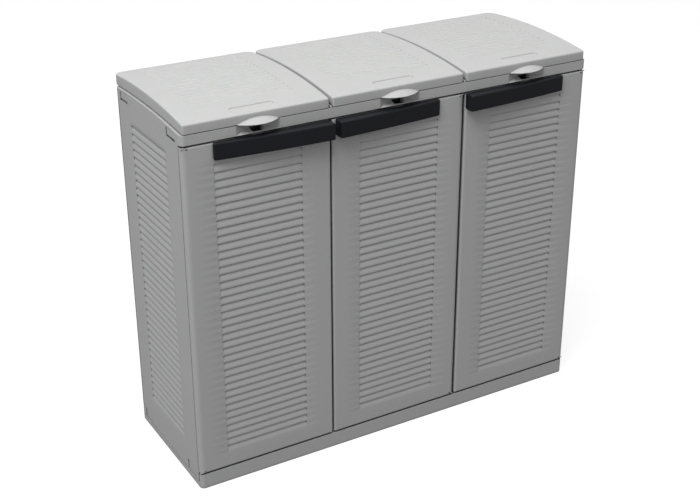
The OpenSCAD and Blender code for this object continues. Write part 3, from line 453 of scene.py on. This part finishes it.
GREY = (0.345, 0.35, 0.346)
body_plastic = plastic("body plastic", GREY, roughness=0.5)
lid_plastic = plastic("lid plastic", GREY, roughness=0.48, dust=0.1)
handle_plastic = plastic("handle plastic", (0.0045, 0.005, 0.008), roughness=0.48, bump=0.3,
                         dust=0.02, dust_colour=(0.1, 0.1, 0.1), edge_highlight_and_polish=0.5, specular=0.3)
holder_plastic = plastic("holder plastic", (0.085, 0.088, 0.092), roughness=0.55,
                         dust=0.05, dust_colour=(0.2, 0.2, 0.2))
magnet_case = plastic("magnet case", (0.012, 0.012, 0.012), roughness=0.5, dust=0.0)
print("plastics:", len(bpy.data.materials))

# %% [markdown]
# ### Zinc-plated steel
# Pins, rods, screws and strike plates are cheap zinc-plated steel: grey, a little blue, with a
# soft brushed streak along the wire and small dull clouds where the plating has gone milky. The
# streaks are noise stretched along x by a Mapping node.

# %% Steel
def zinc(name, streak_scale):
    """Plated steel: its colour is mixed from two greys by milky clouds, and its roughness and height
    follow noise whose coordinates are multiplied by streak_scale, per metre along x, y and z."""
    material = bpy.data.materials.new(name)
    material.use_nodes = True
    tree = material.node_tree
    shader = tree.nodes["Principled BSDF"]
    coords = add(tree, "ShaderNodeTexCoord").outputs["Object"]
    mapping = add(tree, "ShaderNodeMapping", {"Vector": coords, "Scale": streak_scale})
    streaks = add(tree, "ShaderNodeTexNoise", {"Vector": mapping.outputs[0], "Scale": 1.0, "Detail": 3.0})
    milky = add(tree, "ShaderNodeTexNoise", {"Vector": coords, "Scale": 60.0, "Detail": 4.0})
    colour = add(tree, "ShaderNodeMix", {
        "Factor": milky.outputs[0], 6: (0.50, 0.52, 0.55, 1), 7: (0.66, 0.67, 0.68, 1)}, data_type="RGBA")
    tree.links.new(colour.outputs[2], shader.inputs["Base Color"])
    rough = add(tree, "ShaderNodeMapRange", {"Value": streaks.outputs[0], "To Min": 0.22, "To Max": 0.42})
    tree.links.new(rough.outputs[0], shader.inputs["Roughness"])
    relief = add(tree, "ShaderNodeBump", {"Strength": 0.15, "Distance": 0.0001, "Height": streaks.outputs[0]})
    tree.links.new(relief.outputs[0], shader.inputs["Normal"])
    shader.inputs["Metallic"].default_value = 1.0
    return material

pin_steel = zinc("pin steel", (120.0, 2400.0, 2400.0))
screw_steel = zinc("screw steel", (1800.0, 1800.0, 1800.0))
print("steels made")

# %% [markdown]
# ## Slats
# Doors and side panels carry rows of recessed slats. On the real panel each slat starts flush at its
# lower lip and curves inwards going up, so that the next lip overhangs it and rain and eyes are kept
# out. A slat could be a box turned a little, but as a height on the panel's own grid it is one
# skin, as moulded: the depth grows with the square of the fraction of the pitch climbed.
# The lips are rounded, so the step back out takes about a sixth of the pitch.

# %% Slat depths and grid lines
LIP = 0.16

def slats(U, V, centre, width, foot, rows, field, depth):
    """Depth of a field of slats: depth times the square of the share of the pitch climbed since the
    last lip, then half a cosine wave back to 0 over the LIP share of the pitch. It is 0 outside the
    field, which is `width` wide about `centre` and starts at `foot`."""
    pitch = field / rows
    climb = (V - foot) / pitch
    share = climb - np.floor(climb + 1e-9)
    climbed = np.clip(share / (1 - LIP), 0, 1) ** 2
    back_out = 0.5 + 0.5 * np.cos(np.pi * np.clip((share - 1 + LIP) / LIP, 0, 1))
    slope = climbed * back_out
    inside = (np.abs(U - centre) <= width / 2 + 1e-6) & (V > foot - 1e-6) & (V < foot + field + 1e-6)
    return np.where(inside, depth * slope, 0.0)

def slat_lines(foot, rows, field):
    """Grid lines that catch every lip: at its edge, through its step, and through the slope."""
    pitch = field / rows
    at = np.append(np.linspace(0, 1 - LIP, 6), 1 - LIP * np.array([0.75, 0.5, 0.25])) * pitch
    every = (foot + np.arange(rows)[:, None] * pitch + at).ravel()
    return np.unique(np.round(np.append(every, foot + field), 4))

def lines(*parts):
    """Sorted grid lines without near doubles."""
    every = np.sort(np.concatenate([np.atleast_1d(np.asarray(p, float)) for p in parts]))
    return every[np.append(True, np.diff(every) > 0.05)]

print("slat lines per door:", len(slat_lines(36.0, SLAT_ROWS, SLAT_FIELD)))

# %% [markdown]
# ## The doors
# Each door is a shell 20 mm deep and open behind. Its hinge edge is a full round barrel about the
# pin, its opening edge is rounded by 5 mm and its top and bottom by only 1.5 mm, so each side gets
# its own edge section.

# %% Doors
DOOR_D, BARREL_R, DOOR_FIELD_W, DOOR_FIELD_FOOT = 20.0, 10.0, 200.0, 36.0

def door(side, hinge_left):
    """A door's shell, pin bosses and strike plate boss. u runs from the hinge edge and v from the foot.
    The depth of the face is the slats' and that of the back is the same plus the wall. The field of
    slats starts where the handle ends, seen from the hinge."""
    low, high = box_mm(side + "_door")
    width, tall = high[0] - low[0], high[2] - low[2]
    handle_low, handle_high = box_mm(side + "_handle")
    reach = (high[0] - handle_low[0]) if hinge_left else (handle_high[0] - low[0])
    field_u = width - reach + 100.0
    us = lines([14.0, 24.0], np.linspace(field_u - 99.6, field_u + 99.6, 12),
               [field_u - 100.4, field_u - 100, field_u + 100, field_u + 100.4],
               [width - 8.0, width - 14.0, (field_u + 100 + width) / 2])
    vs = lines([5.0, 12.0, 24.0], slat_lines(DOOR_FIELD_FOOT, SLAT_ROWS, SLAT_FIELD),
               [tall - 24, tall - 12, tall - 5])
    field = (DOOR_FIELD_FOOT, SLAT_ROWS, SLAT_FIELD, SLAT_DEPTH)
    face = lambda U, V: slats(U, V, field_u, DOOR_FIELD_W, *field)
    back = lambda U, V: WALL + slats(U, V, field_u, DOOR_FIELD_W + 0.8, *field)
    sections = (edge_section(BARREL_R, DOOR_D, round_back=True), edge_section(5.0, DOOR_D),
                edge_section(1.5, DOOR_D), edge_section(1.5, DOOR_D))
    x = (lambda u: low[0] + u) if hinge_left else (lambda u: high[0] - u)
    place = lambda u, v, d: np.stack([x(u), d, low[2] + v], -1)
    shell = panel(us, vs, (0, width, 0, tall), face, back, sections, (0, 2.0, 2.0, 0), place)
    plugs = [rod((x(BARREL_R), BARREL_R, low[2] + a), (x(BARREL_R), BARREL_R, low[2] + b), 8.4)
             for a, b in ((1.5, 28.0), (tall - 28.0, tall - 1.5))]
    plate_low, plate_high = box_mm(side + "_strike_plate")
    boss = strip(plate_low[0] - 1, plate_high[0] + 1, 2.0, plate_low[1],
                 plate_low[2] - 2, plate_high[2] + 2)
    return merge(shell, *plugs, boss)

for side in SIDES:
    make_piece(side + "_door_shell", door(side, side == "left"), side + "_door",
               body_plastic, [side + "_door"])

# %% [markdown]
# ## The handles
# A handle is a black hood over the top of its door. Its front bows out in plan, 25 mm deep at the
# door's opening side and 7 mm at the far end; it is open below, where the fingers go in. The depth
# at s along the handle is a circle's: a straight taper plus s (length - s) / 2R.

# %% Handles
HANDLE_END_D, HANDLE_BOW_R, HANDLE_POSTS = 7.0, 3183.0, (46.0, 190.0)

def handle(side, opening_right):
    """A handle's hood and its two posts. At s from the opening end it stands out by a straight taper
    from its reach to HANDLE_END_D, plus s (length - s) / 2 HANDLE_BOW_R."""
    low, high = box_mm(side + "_handle")
    length, tall = high[0] - low[0], high[2] - low[2]
    reach = -low[1]
    depth = lambda s: (reach + (HANDLE_END_D - reach) * s / length
                       + s * (length - s) / (2 * HANDLE_BOW_R))
    us, vs = lines(np.linspace(6.0, length - 6.0, 40)), lines([6.0, 12, 18, 25, tall - 6.0])
    top = edge_section(2.6, 30.0, arc=4)
    hood = np.array(top)
    hood[:, 1] = np.minimum(hood[:, 1], 3.2)
    sections = (edge_section(2.6, 30.0, arc=4), edge_section(2.6, 30.0, arc=4), hood, top)
    x = (lambda s: high[0] - s) if opening_right else (lambda s: low[0] + s)
    def place(s, v, d):
        """Depth behind the bowed front up to 4 mm, then shared out evenly back to the door."""
        front = -depth(s)
        y = np.where(d <= 4, front + d, front + 4 + (d - 4) / 26.0 * (-0.3 - front - 4))
        return np.stack([x(s), y, low[2] + v], -1)
    face, back = lambda U, V: 0 * U, lambda U, V: WALL + 0 * U
    shell = panel(us, vs, (0, length, 0, tall), face, back, sections, (3.0,) * 4, place)
    middle = low[2] + tall / 2
    posts = [rod((x(s), -depth(s) + 1.5, middle), (x(s), -0.3, middle), 4.5) for s in HANDLE_POSTS]
    return merge(shell, *posts)

for side in SIDES:
    make_piece(side + "_handle_hood", handle(side, side == "left"), side + "_door",
               handle_plastic, [side + "_handle"], sharp=30)

# %% [markdown]
# ## The lids
# A lid is a crowned shell. Its top carries sixteen shallow slats, less than half as deep as the doors',
# and in front of them a long round-ended recess for a label. The recess is a distance field: how
# far a point is from a line segment, less the radius, tells how deep it is.

# %% Lids
def label_recess(U, V):
    """Depth of a stadium 100 mm long and 13 mm wide around the segment u = -43..43 at v = 30."""
    gap = np.hypot(np.clip(np.abs(U) - 43.0, 0, None), V - 30.0) - 6.5
    return 1.9 * np.clip(0.5 - gap / 0.6, 0, 1)

LID_LIFT = 0.8
LID_ROWS, LID_FIELD, LID_FIELD_W, LID_FIELD_FOOT, LID_SLAT_DEPTH = 16, 280.0, 230.0, 60.0, 1.25

def lid(side):
    """A lid's shell and its two rod lugs. u runs across from the middle and v is y. Its outer face is
    the slats' depth plus the label recess, and its inner face is flat, WALL + 1.6 mm below."""
    low, high = box_mm(side + "_lid")
    middle, half, far = (low[0] + high[0]) / 2, (high[0] - low[0]) / 2, high[1]
    near = 0.5
    us = lines(np.linspace(-half + 21, half - 21, 11), [-115.4, -115, 115, 115.4],
               np.linspace(-50.5, -42, 18), np.linspace(42, 50.5, 18), np.linspace(-114, 114, 10))
    vs = lines([near + 6.0, 14.0], np.linspace(22.5, 37.5, 31), [46, 54],
               slat_lines(LID_FIELD_FOOT, LID_ROWS, LID_FIELD), [346.0, far - 21.0])
    field = (LID_FIELD_FOOT, LID_ROWS, LID_FIELD, LID_SLAT_DEPTH)
    face = lambda U, V: slats(U, V, 0.0, LID_FIELD_W, *field) + label_recess(U, V)
    back = lambda U, V: WALL + 1.6 + 0 * U
    edge = edge_section(3.5, 30.0)
    rod_low, rod_high = box_mm(side + "_lid_rod")
    rod_y, rod_z = (rod_low[1] + rod_high[1]) / 2, (rod_low[2] + rod_high[2]) / 2
    lugs = []
    for x in (middle - half + 62.1, middle + half - 62.1):
        lugs += [rod((x - 4, rod_y, rod_z), (x + 4, rod_y, rod_z), 7.0),
                 strip(x - 4, x + 4, rod_y - 7, rod_y + 7, rod_z, float(lid_top(rod_y + 7)) - 2.0, 0.4)]
    def place(u, v, d):
        """Depth below the crown up to 6 mm, then shared out evenly down to the skirt's lower edge."""
        top, skirt = lid_top(v), rim(v) + LID_LIFT
        z = np.where(d <= 6, top - d, top - 6 - (d - 6) / 24.0 * (top - 6 - skirt))
        return np.stack([middle + u, v, z], -1)
    shell = panel(us, vs, (-half, half, near, far), face, back, (edge,) * 4,
                  (5.0, 5.0, 20.0, 20.0), place)
    return merge(shell, *lugs)

# %% [markdown]
# ### The finger grip
# The grip is a slice of a hollow ball that stands out of the lid's front skirt, like the peak of a
# cap. For every x its upper face runs on the sphere from the front edge back into the skirt, and a
# second sphere 3 mm smaller makes its underside.

# %% Grips
BALL_Y, BALL_DROP, BALL_RISE = 46.9, 105.45, 115.45

def grip(side):
    """A lid's finger grip. At (x, y) the height is the ball's centre plus the root of its radius
    squared less the squared distances in x and y, and never under the skirt's foot. The outer and
    the inner sheet are joined into rings round each x; the ends at the last x are left open."""
    low, high = box_mm(side + "_lid")
    middle, foot = (low[0] + high[0]) / 2, float(rim(0)) + LID_LIFT
    centre_y, centre_z = BALL_Y, foot + 0.2 - BALL_DROP
    outer_r = math.hypot(BALL_RISE, BALL_Y)
    x = np.linspace(-49.0, 49.0, 57)[:, None]
    t = np.linspace(0, 1, 13)[None, :]
    sheets = []
    for radius in (outer_r, outer_r - WALL):
        reach = np.sqrt(np.clip(radius ** 2 - x ** 2 - (foot - centre_z) ** 2, 0, None))
        y0 = np.minimum(centre_y - reach, 2.0)
        y = y0 + (2.0 - y0) * t
        z = centre_z + np.sqrt(np.clip(radius ** 2 - x ** 2 - (y - centre_y) ** 2, 0, None))
        sheets.append(np.stack([middle + x + 0 * y, y, np.maximum(z, foot)], -1))
    ring = np.concatenate([sheets[0], sheets[1][:, ::-1]], 1)
    n, m = ring.shape[:2]
    cell = np.arange(n - 1)[:, None] * m + np.arange(m)[None, :]
    nxt = np.arange(n - 1)[:, None] * m + (np.arange(m)[None, :] + 1) % m
    return ring.reshape(-1, 3), np.stack([cell, cell + m, nxt + m, nxt], -1).reshape(-1, 4)

for side in SIDES:
    make_piece(side + "_lid_shell", lid(side), side + "_lid",
               lid_plastic, [side + "_lid"], sharp=35)
    make_piece(side + "_lid_grip", grip(side), side + "_lid", lid_plastic, sharp=50)

# %% [markdown]
# ## The side panels
# Each side is one sheet with a field of slats and four windows, where lugs on the base and the frame
# snap in from behind. Its top edge follows the frame's arch, so the rows near the top are bent by the
# same arch. The windows are real holes: the lugs inside them belong to the base and the frame.

# %% Side panels
SIDE_FIELD_Y, SIDE_FIELD_W, SIDE_FIELD_FOOT, BEND_FROM = 176.0, 185.0, 89.0, 800.0
WINDOW_U, WINDOW_V = ((28.0, 71.0), (281.0, 324.0)), (18.0, 41.0)

def side_panel(side):
    """A side's sheet. u is y and v is z; the depth of the face is the slats' and that of the back is
    the same plus the wall. Cells whose middle lies in a window are left out of both."""
    low, high = box_mm(side + "_side_panel")
    out = high[0] if side == "right" else low[0]
    inward = -1.0 if side == "right" else 1.0
    near, far, foot = low[1], high[1], low[2]
    nominal = float(rim(CROWN_Y)) - 4.0
    high_v = (nominal - 22.0, nominal - 1.5)
    us = lines([near + 3, 76.0, far - 3.0, 150, 200], np.ravel(WINDOW_U), np.linspace(84.1, 267.9, 9),
               [83.1, 83.5, 268.5, 268.9])
    vs = lines([foot + 2.0], WINDOW_V, [60, 80], slat_lines(SIDE_FIELD_FOOT, SLAT_ROWS, SLAT_FIELD),
               [788, BEND_FROM], high_v)
    field = (SIDE_FIELD_FOOT, SLAT_ROWS, SLAT_FIELD, SLAT_DEPTH)
    face = lambda U, V: slats(U, V, SIDE_FIELD_Y, SIDE_FIELD_W, *field)
    back = lambda U, V: WALL + slats(U, V, SIDE_FIELD_Y, SIDE_FIELD_W + 0.8, *field)
    def holes(u, v):
        """True inside a window: between its two u lines, and its two low or high v lines."""
        across = sum(((u > a) & (u < b)) for a, b in WINDOW_U) > 0
        return across & (sum(((v > a) & (v < b)) for a, b in (WINDOW_V, high_v)) > 0)
    def place(u, v, d):
        """Above BEND_FROM the rows bend, so that the top edge keeps 4 mm below the rim's arch."""
        bend = np.clip((v - BEND_FROM) / (nominal - 22.0 - BEND_FROM), 0, 1) * (rim(u) - rim(CROWN_Y))
        return np.stack([out + inward * d, u, v + bend], -1)
    edge = edge_section(1.0, WALL, wall=1.2, arc=4)
    return panel(us, vs, (near, far, foot, nominal), face, back, (edge,) * 4, (1.5,) * 4, place, holes)

FLANGE_Z = (36.4, 815.6)
for side in ("left", "right"):
    low, high = box_mm(side + "_side_panel")
    s = 1 if side == "right" else -1
    x_in, x_mid, x_out = s * (BODY_W / 2 - 30), s * (BODY_W / 2 - 10), s * (BODY_W / 2 - WALL + 0.5)
    flanges = [strip(min(x_in, x_out), max(x_in, x_out), 22, 25, *FLANGE_Z),
               strip(min(x_mid, x_out), max(x_mid, x_out), high[1] - WALL, high[1], *FLANGE_Z)]
    make_piece(side + "_side_sheet", merge(side_panel(side), *flanges), "cabinet",
               body_plastic, [side + "_side_panel"])

# %% [markdown]
# ## Solids that keep their shape
# The base, frame, dividers, back panels, bag holders and steel parts already have their real shape
# in the solid model, so they keep it and only get their finish.

# %% Finishes for the solids
def finish_node(node, material):
    """Gives a solid one material, in every slot it has, and leaves its mesh alone."""
    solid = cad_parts[node]
    if not solid.material_slots:
        solid.data.materials.append(material)
    for slot in solid.material_slots:
        slot.material = material

for node in ("base_tray", "top_frame", "left_divider", "right_divider",
             "left_divider_post", "right_divider_post", *(s + "_back_panel" for s in SIDES)):
    finish_node(node, body_plastic)
for side in SIDES:
    finish_node(side + "_door_magnet", magnet_case)
    finish_node(side + "_handle_screws", screw_steel)
    for part in ("bag_frame", "bag_clamp"):
        finish_node(f"{side}_{part}", holder_plastic)
    for part in ("door_pins", "strike_plate", "lid_rod", "clamp_pins"):
        finish_node(f"{side}_{part}", pin_steel)
print("solids finished")

# %% [markdown]
# ## The studio
# A cabinet like this is shown on a pale floor in even light, with no hard shadow: the lids come out
# almost white, the side lighter than the front. A white sky does most of that, brighter for the
# camera than for the cabinet. The floor glows for the camera alone, so it is pale without throwing
# light up on the doors. A curved backdrop could do the same, but it would show in the back views.

# %% Floor and sky
floor_mesh = bpy.data.meshes.new("floor")
floor_mesh.from_pydata([(-30, -30, 0), (30, -30, 0), (30, 30, 0), (-30, 30, 0)], [], [(0, 1, 2, 3)])
floor = bpy.data.objects.new("floor", floor_mesh)
bpy.context.scene.collection.objects.link(floor)
paint = bpy.data.materials.new("floor paint")
paint.use_nodes = True
tree = paint.node_tree
tree.nodes.remove(tree.nodes["Principled BSDF"])
matt = add(tree, "ShaderNodeBsdfDiffuse", {"Color": (0.2, 0.2, 0.2, 1)})
glow = add(tree, "ShaderNodeEmission", {"Color": (1, 1, 1, 1), "Strength": add(tree, "ShaderNodeMath", {
    0: add(tree, "ShaderNodeLightPath").outputs["Is Camera Ray"], 1: 0.8}, operation="MULTIPLY").outputs[0]})
both = add(tree, "ShaderNodeAddShader", {0: matt.outputs[0], 1: glow.outputs[0]})
tree.links.new(both.outputs[0], tree.nodes["Material Output"].inputs["Surface"])
floor_mesh.materials.append(paint)

world = bpy.data.worlds.new("studio")
bpy.context.scene.world = world
world.use_nodes = True
tree = world.node_tree
seen = add(tree, "ShaderNodeLightPath").outputs["Is Camera Ray"]
strength = add(tree, "ShaderNodeMapRange", {"Value": seen, "To Min": 0.68, "To Max": 1.0}).outputs[0]
tree.links.new(strength, tree.nodes["Background"].inputs["Strength"])
tree.nodes["Background"].inputs["Color"].default_value = (1, 1, 1, 1)
bpy.context.scene.view_settings.view_transform = "Standard"
print("floor and sky ready")

# %% [markdown]
# ### Lights and camera
# A large soft light stands high on the cabinet's left, and a much weaker one straight above evens out
# the lids. The camera's place and turns are the ones that put the cabinet's corners where an
# observer at its front left sees them, and they are fixed, so that every render has the same view.

# %% Lights
def soft_light(name, place, towards, size, watts):
    """A rectangular area light whose -Z axis points from place to towards, metres and watts."""
    data = bpy.data.lights.new(name, "AREA")
    data.shape, data.size, data.size_y, data.energy = "RECTANGLE", size[0], size[1], watts
    lamp = bpy.data.objects.new(name, data)
    bpy.context.scene.collection.objects.link(lamp)
    lamp.location = place
    aim = np.array(towards, float) - np.array(place, float)
    lamp.rotation_euler = Vector(aim).to_track_quat("-Z", "Y").to_euler()

soft_light("key", (-2.95, -1.7, 6.0), (0.0, 0.0, 0.5), (3.4, 3.4), 400)
soft_light("overhead", (0.4, 0.35, 3.6), (0.4, 0.2, 0.0), (2.6, 2.2), 28)
print("lights ready")

# %% Camera
camera_data = bpy.data.cameras.new("camera")
camera = bpy.data.objects.new("camera", camera_data)
bpy.context.scene.collection.objects.link(camera)
turn, tilt, roll = np.radians([30.207, 25.328, -0.122])
forward = np.array([np.sin(turn) * np.cos(tilt), np.cos(turn) * np.cos(tilt), -np.sin(tilt)])
right = np.cross(forward, [0, 0, 1.0])
right /= np.linalg.norm(right)
down = np.cross(forward, right)
right, down = (np.cos(roll) * right - np.sin(roll) * down,
               np.sin(roll) * right + np.cos(roll) * down)
pose = np.eye(4)
pose[:3, 0], pose[:3, 1], pose[:3, 2] = right, -down, -forward
pose[:3, 3] = np.array([-1392.0, -2176.0 + front_y, 1692.5]) / 1000.0
camera.matrix_world = Matrix(pose.tolist())
camera_data.sensor_width, camera_data.lens = 36.0, 64.88
bpy.context.scene.camera = camera
print("camera at", [round(float(c), 3) for c in pose[:3, 3]])
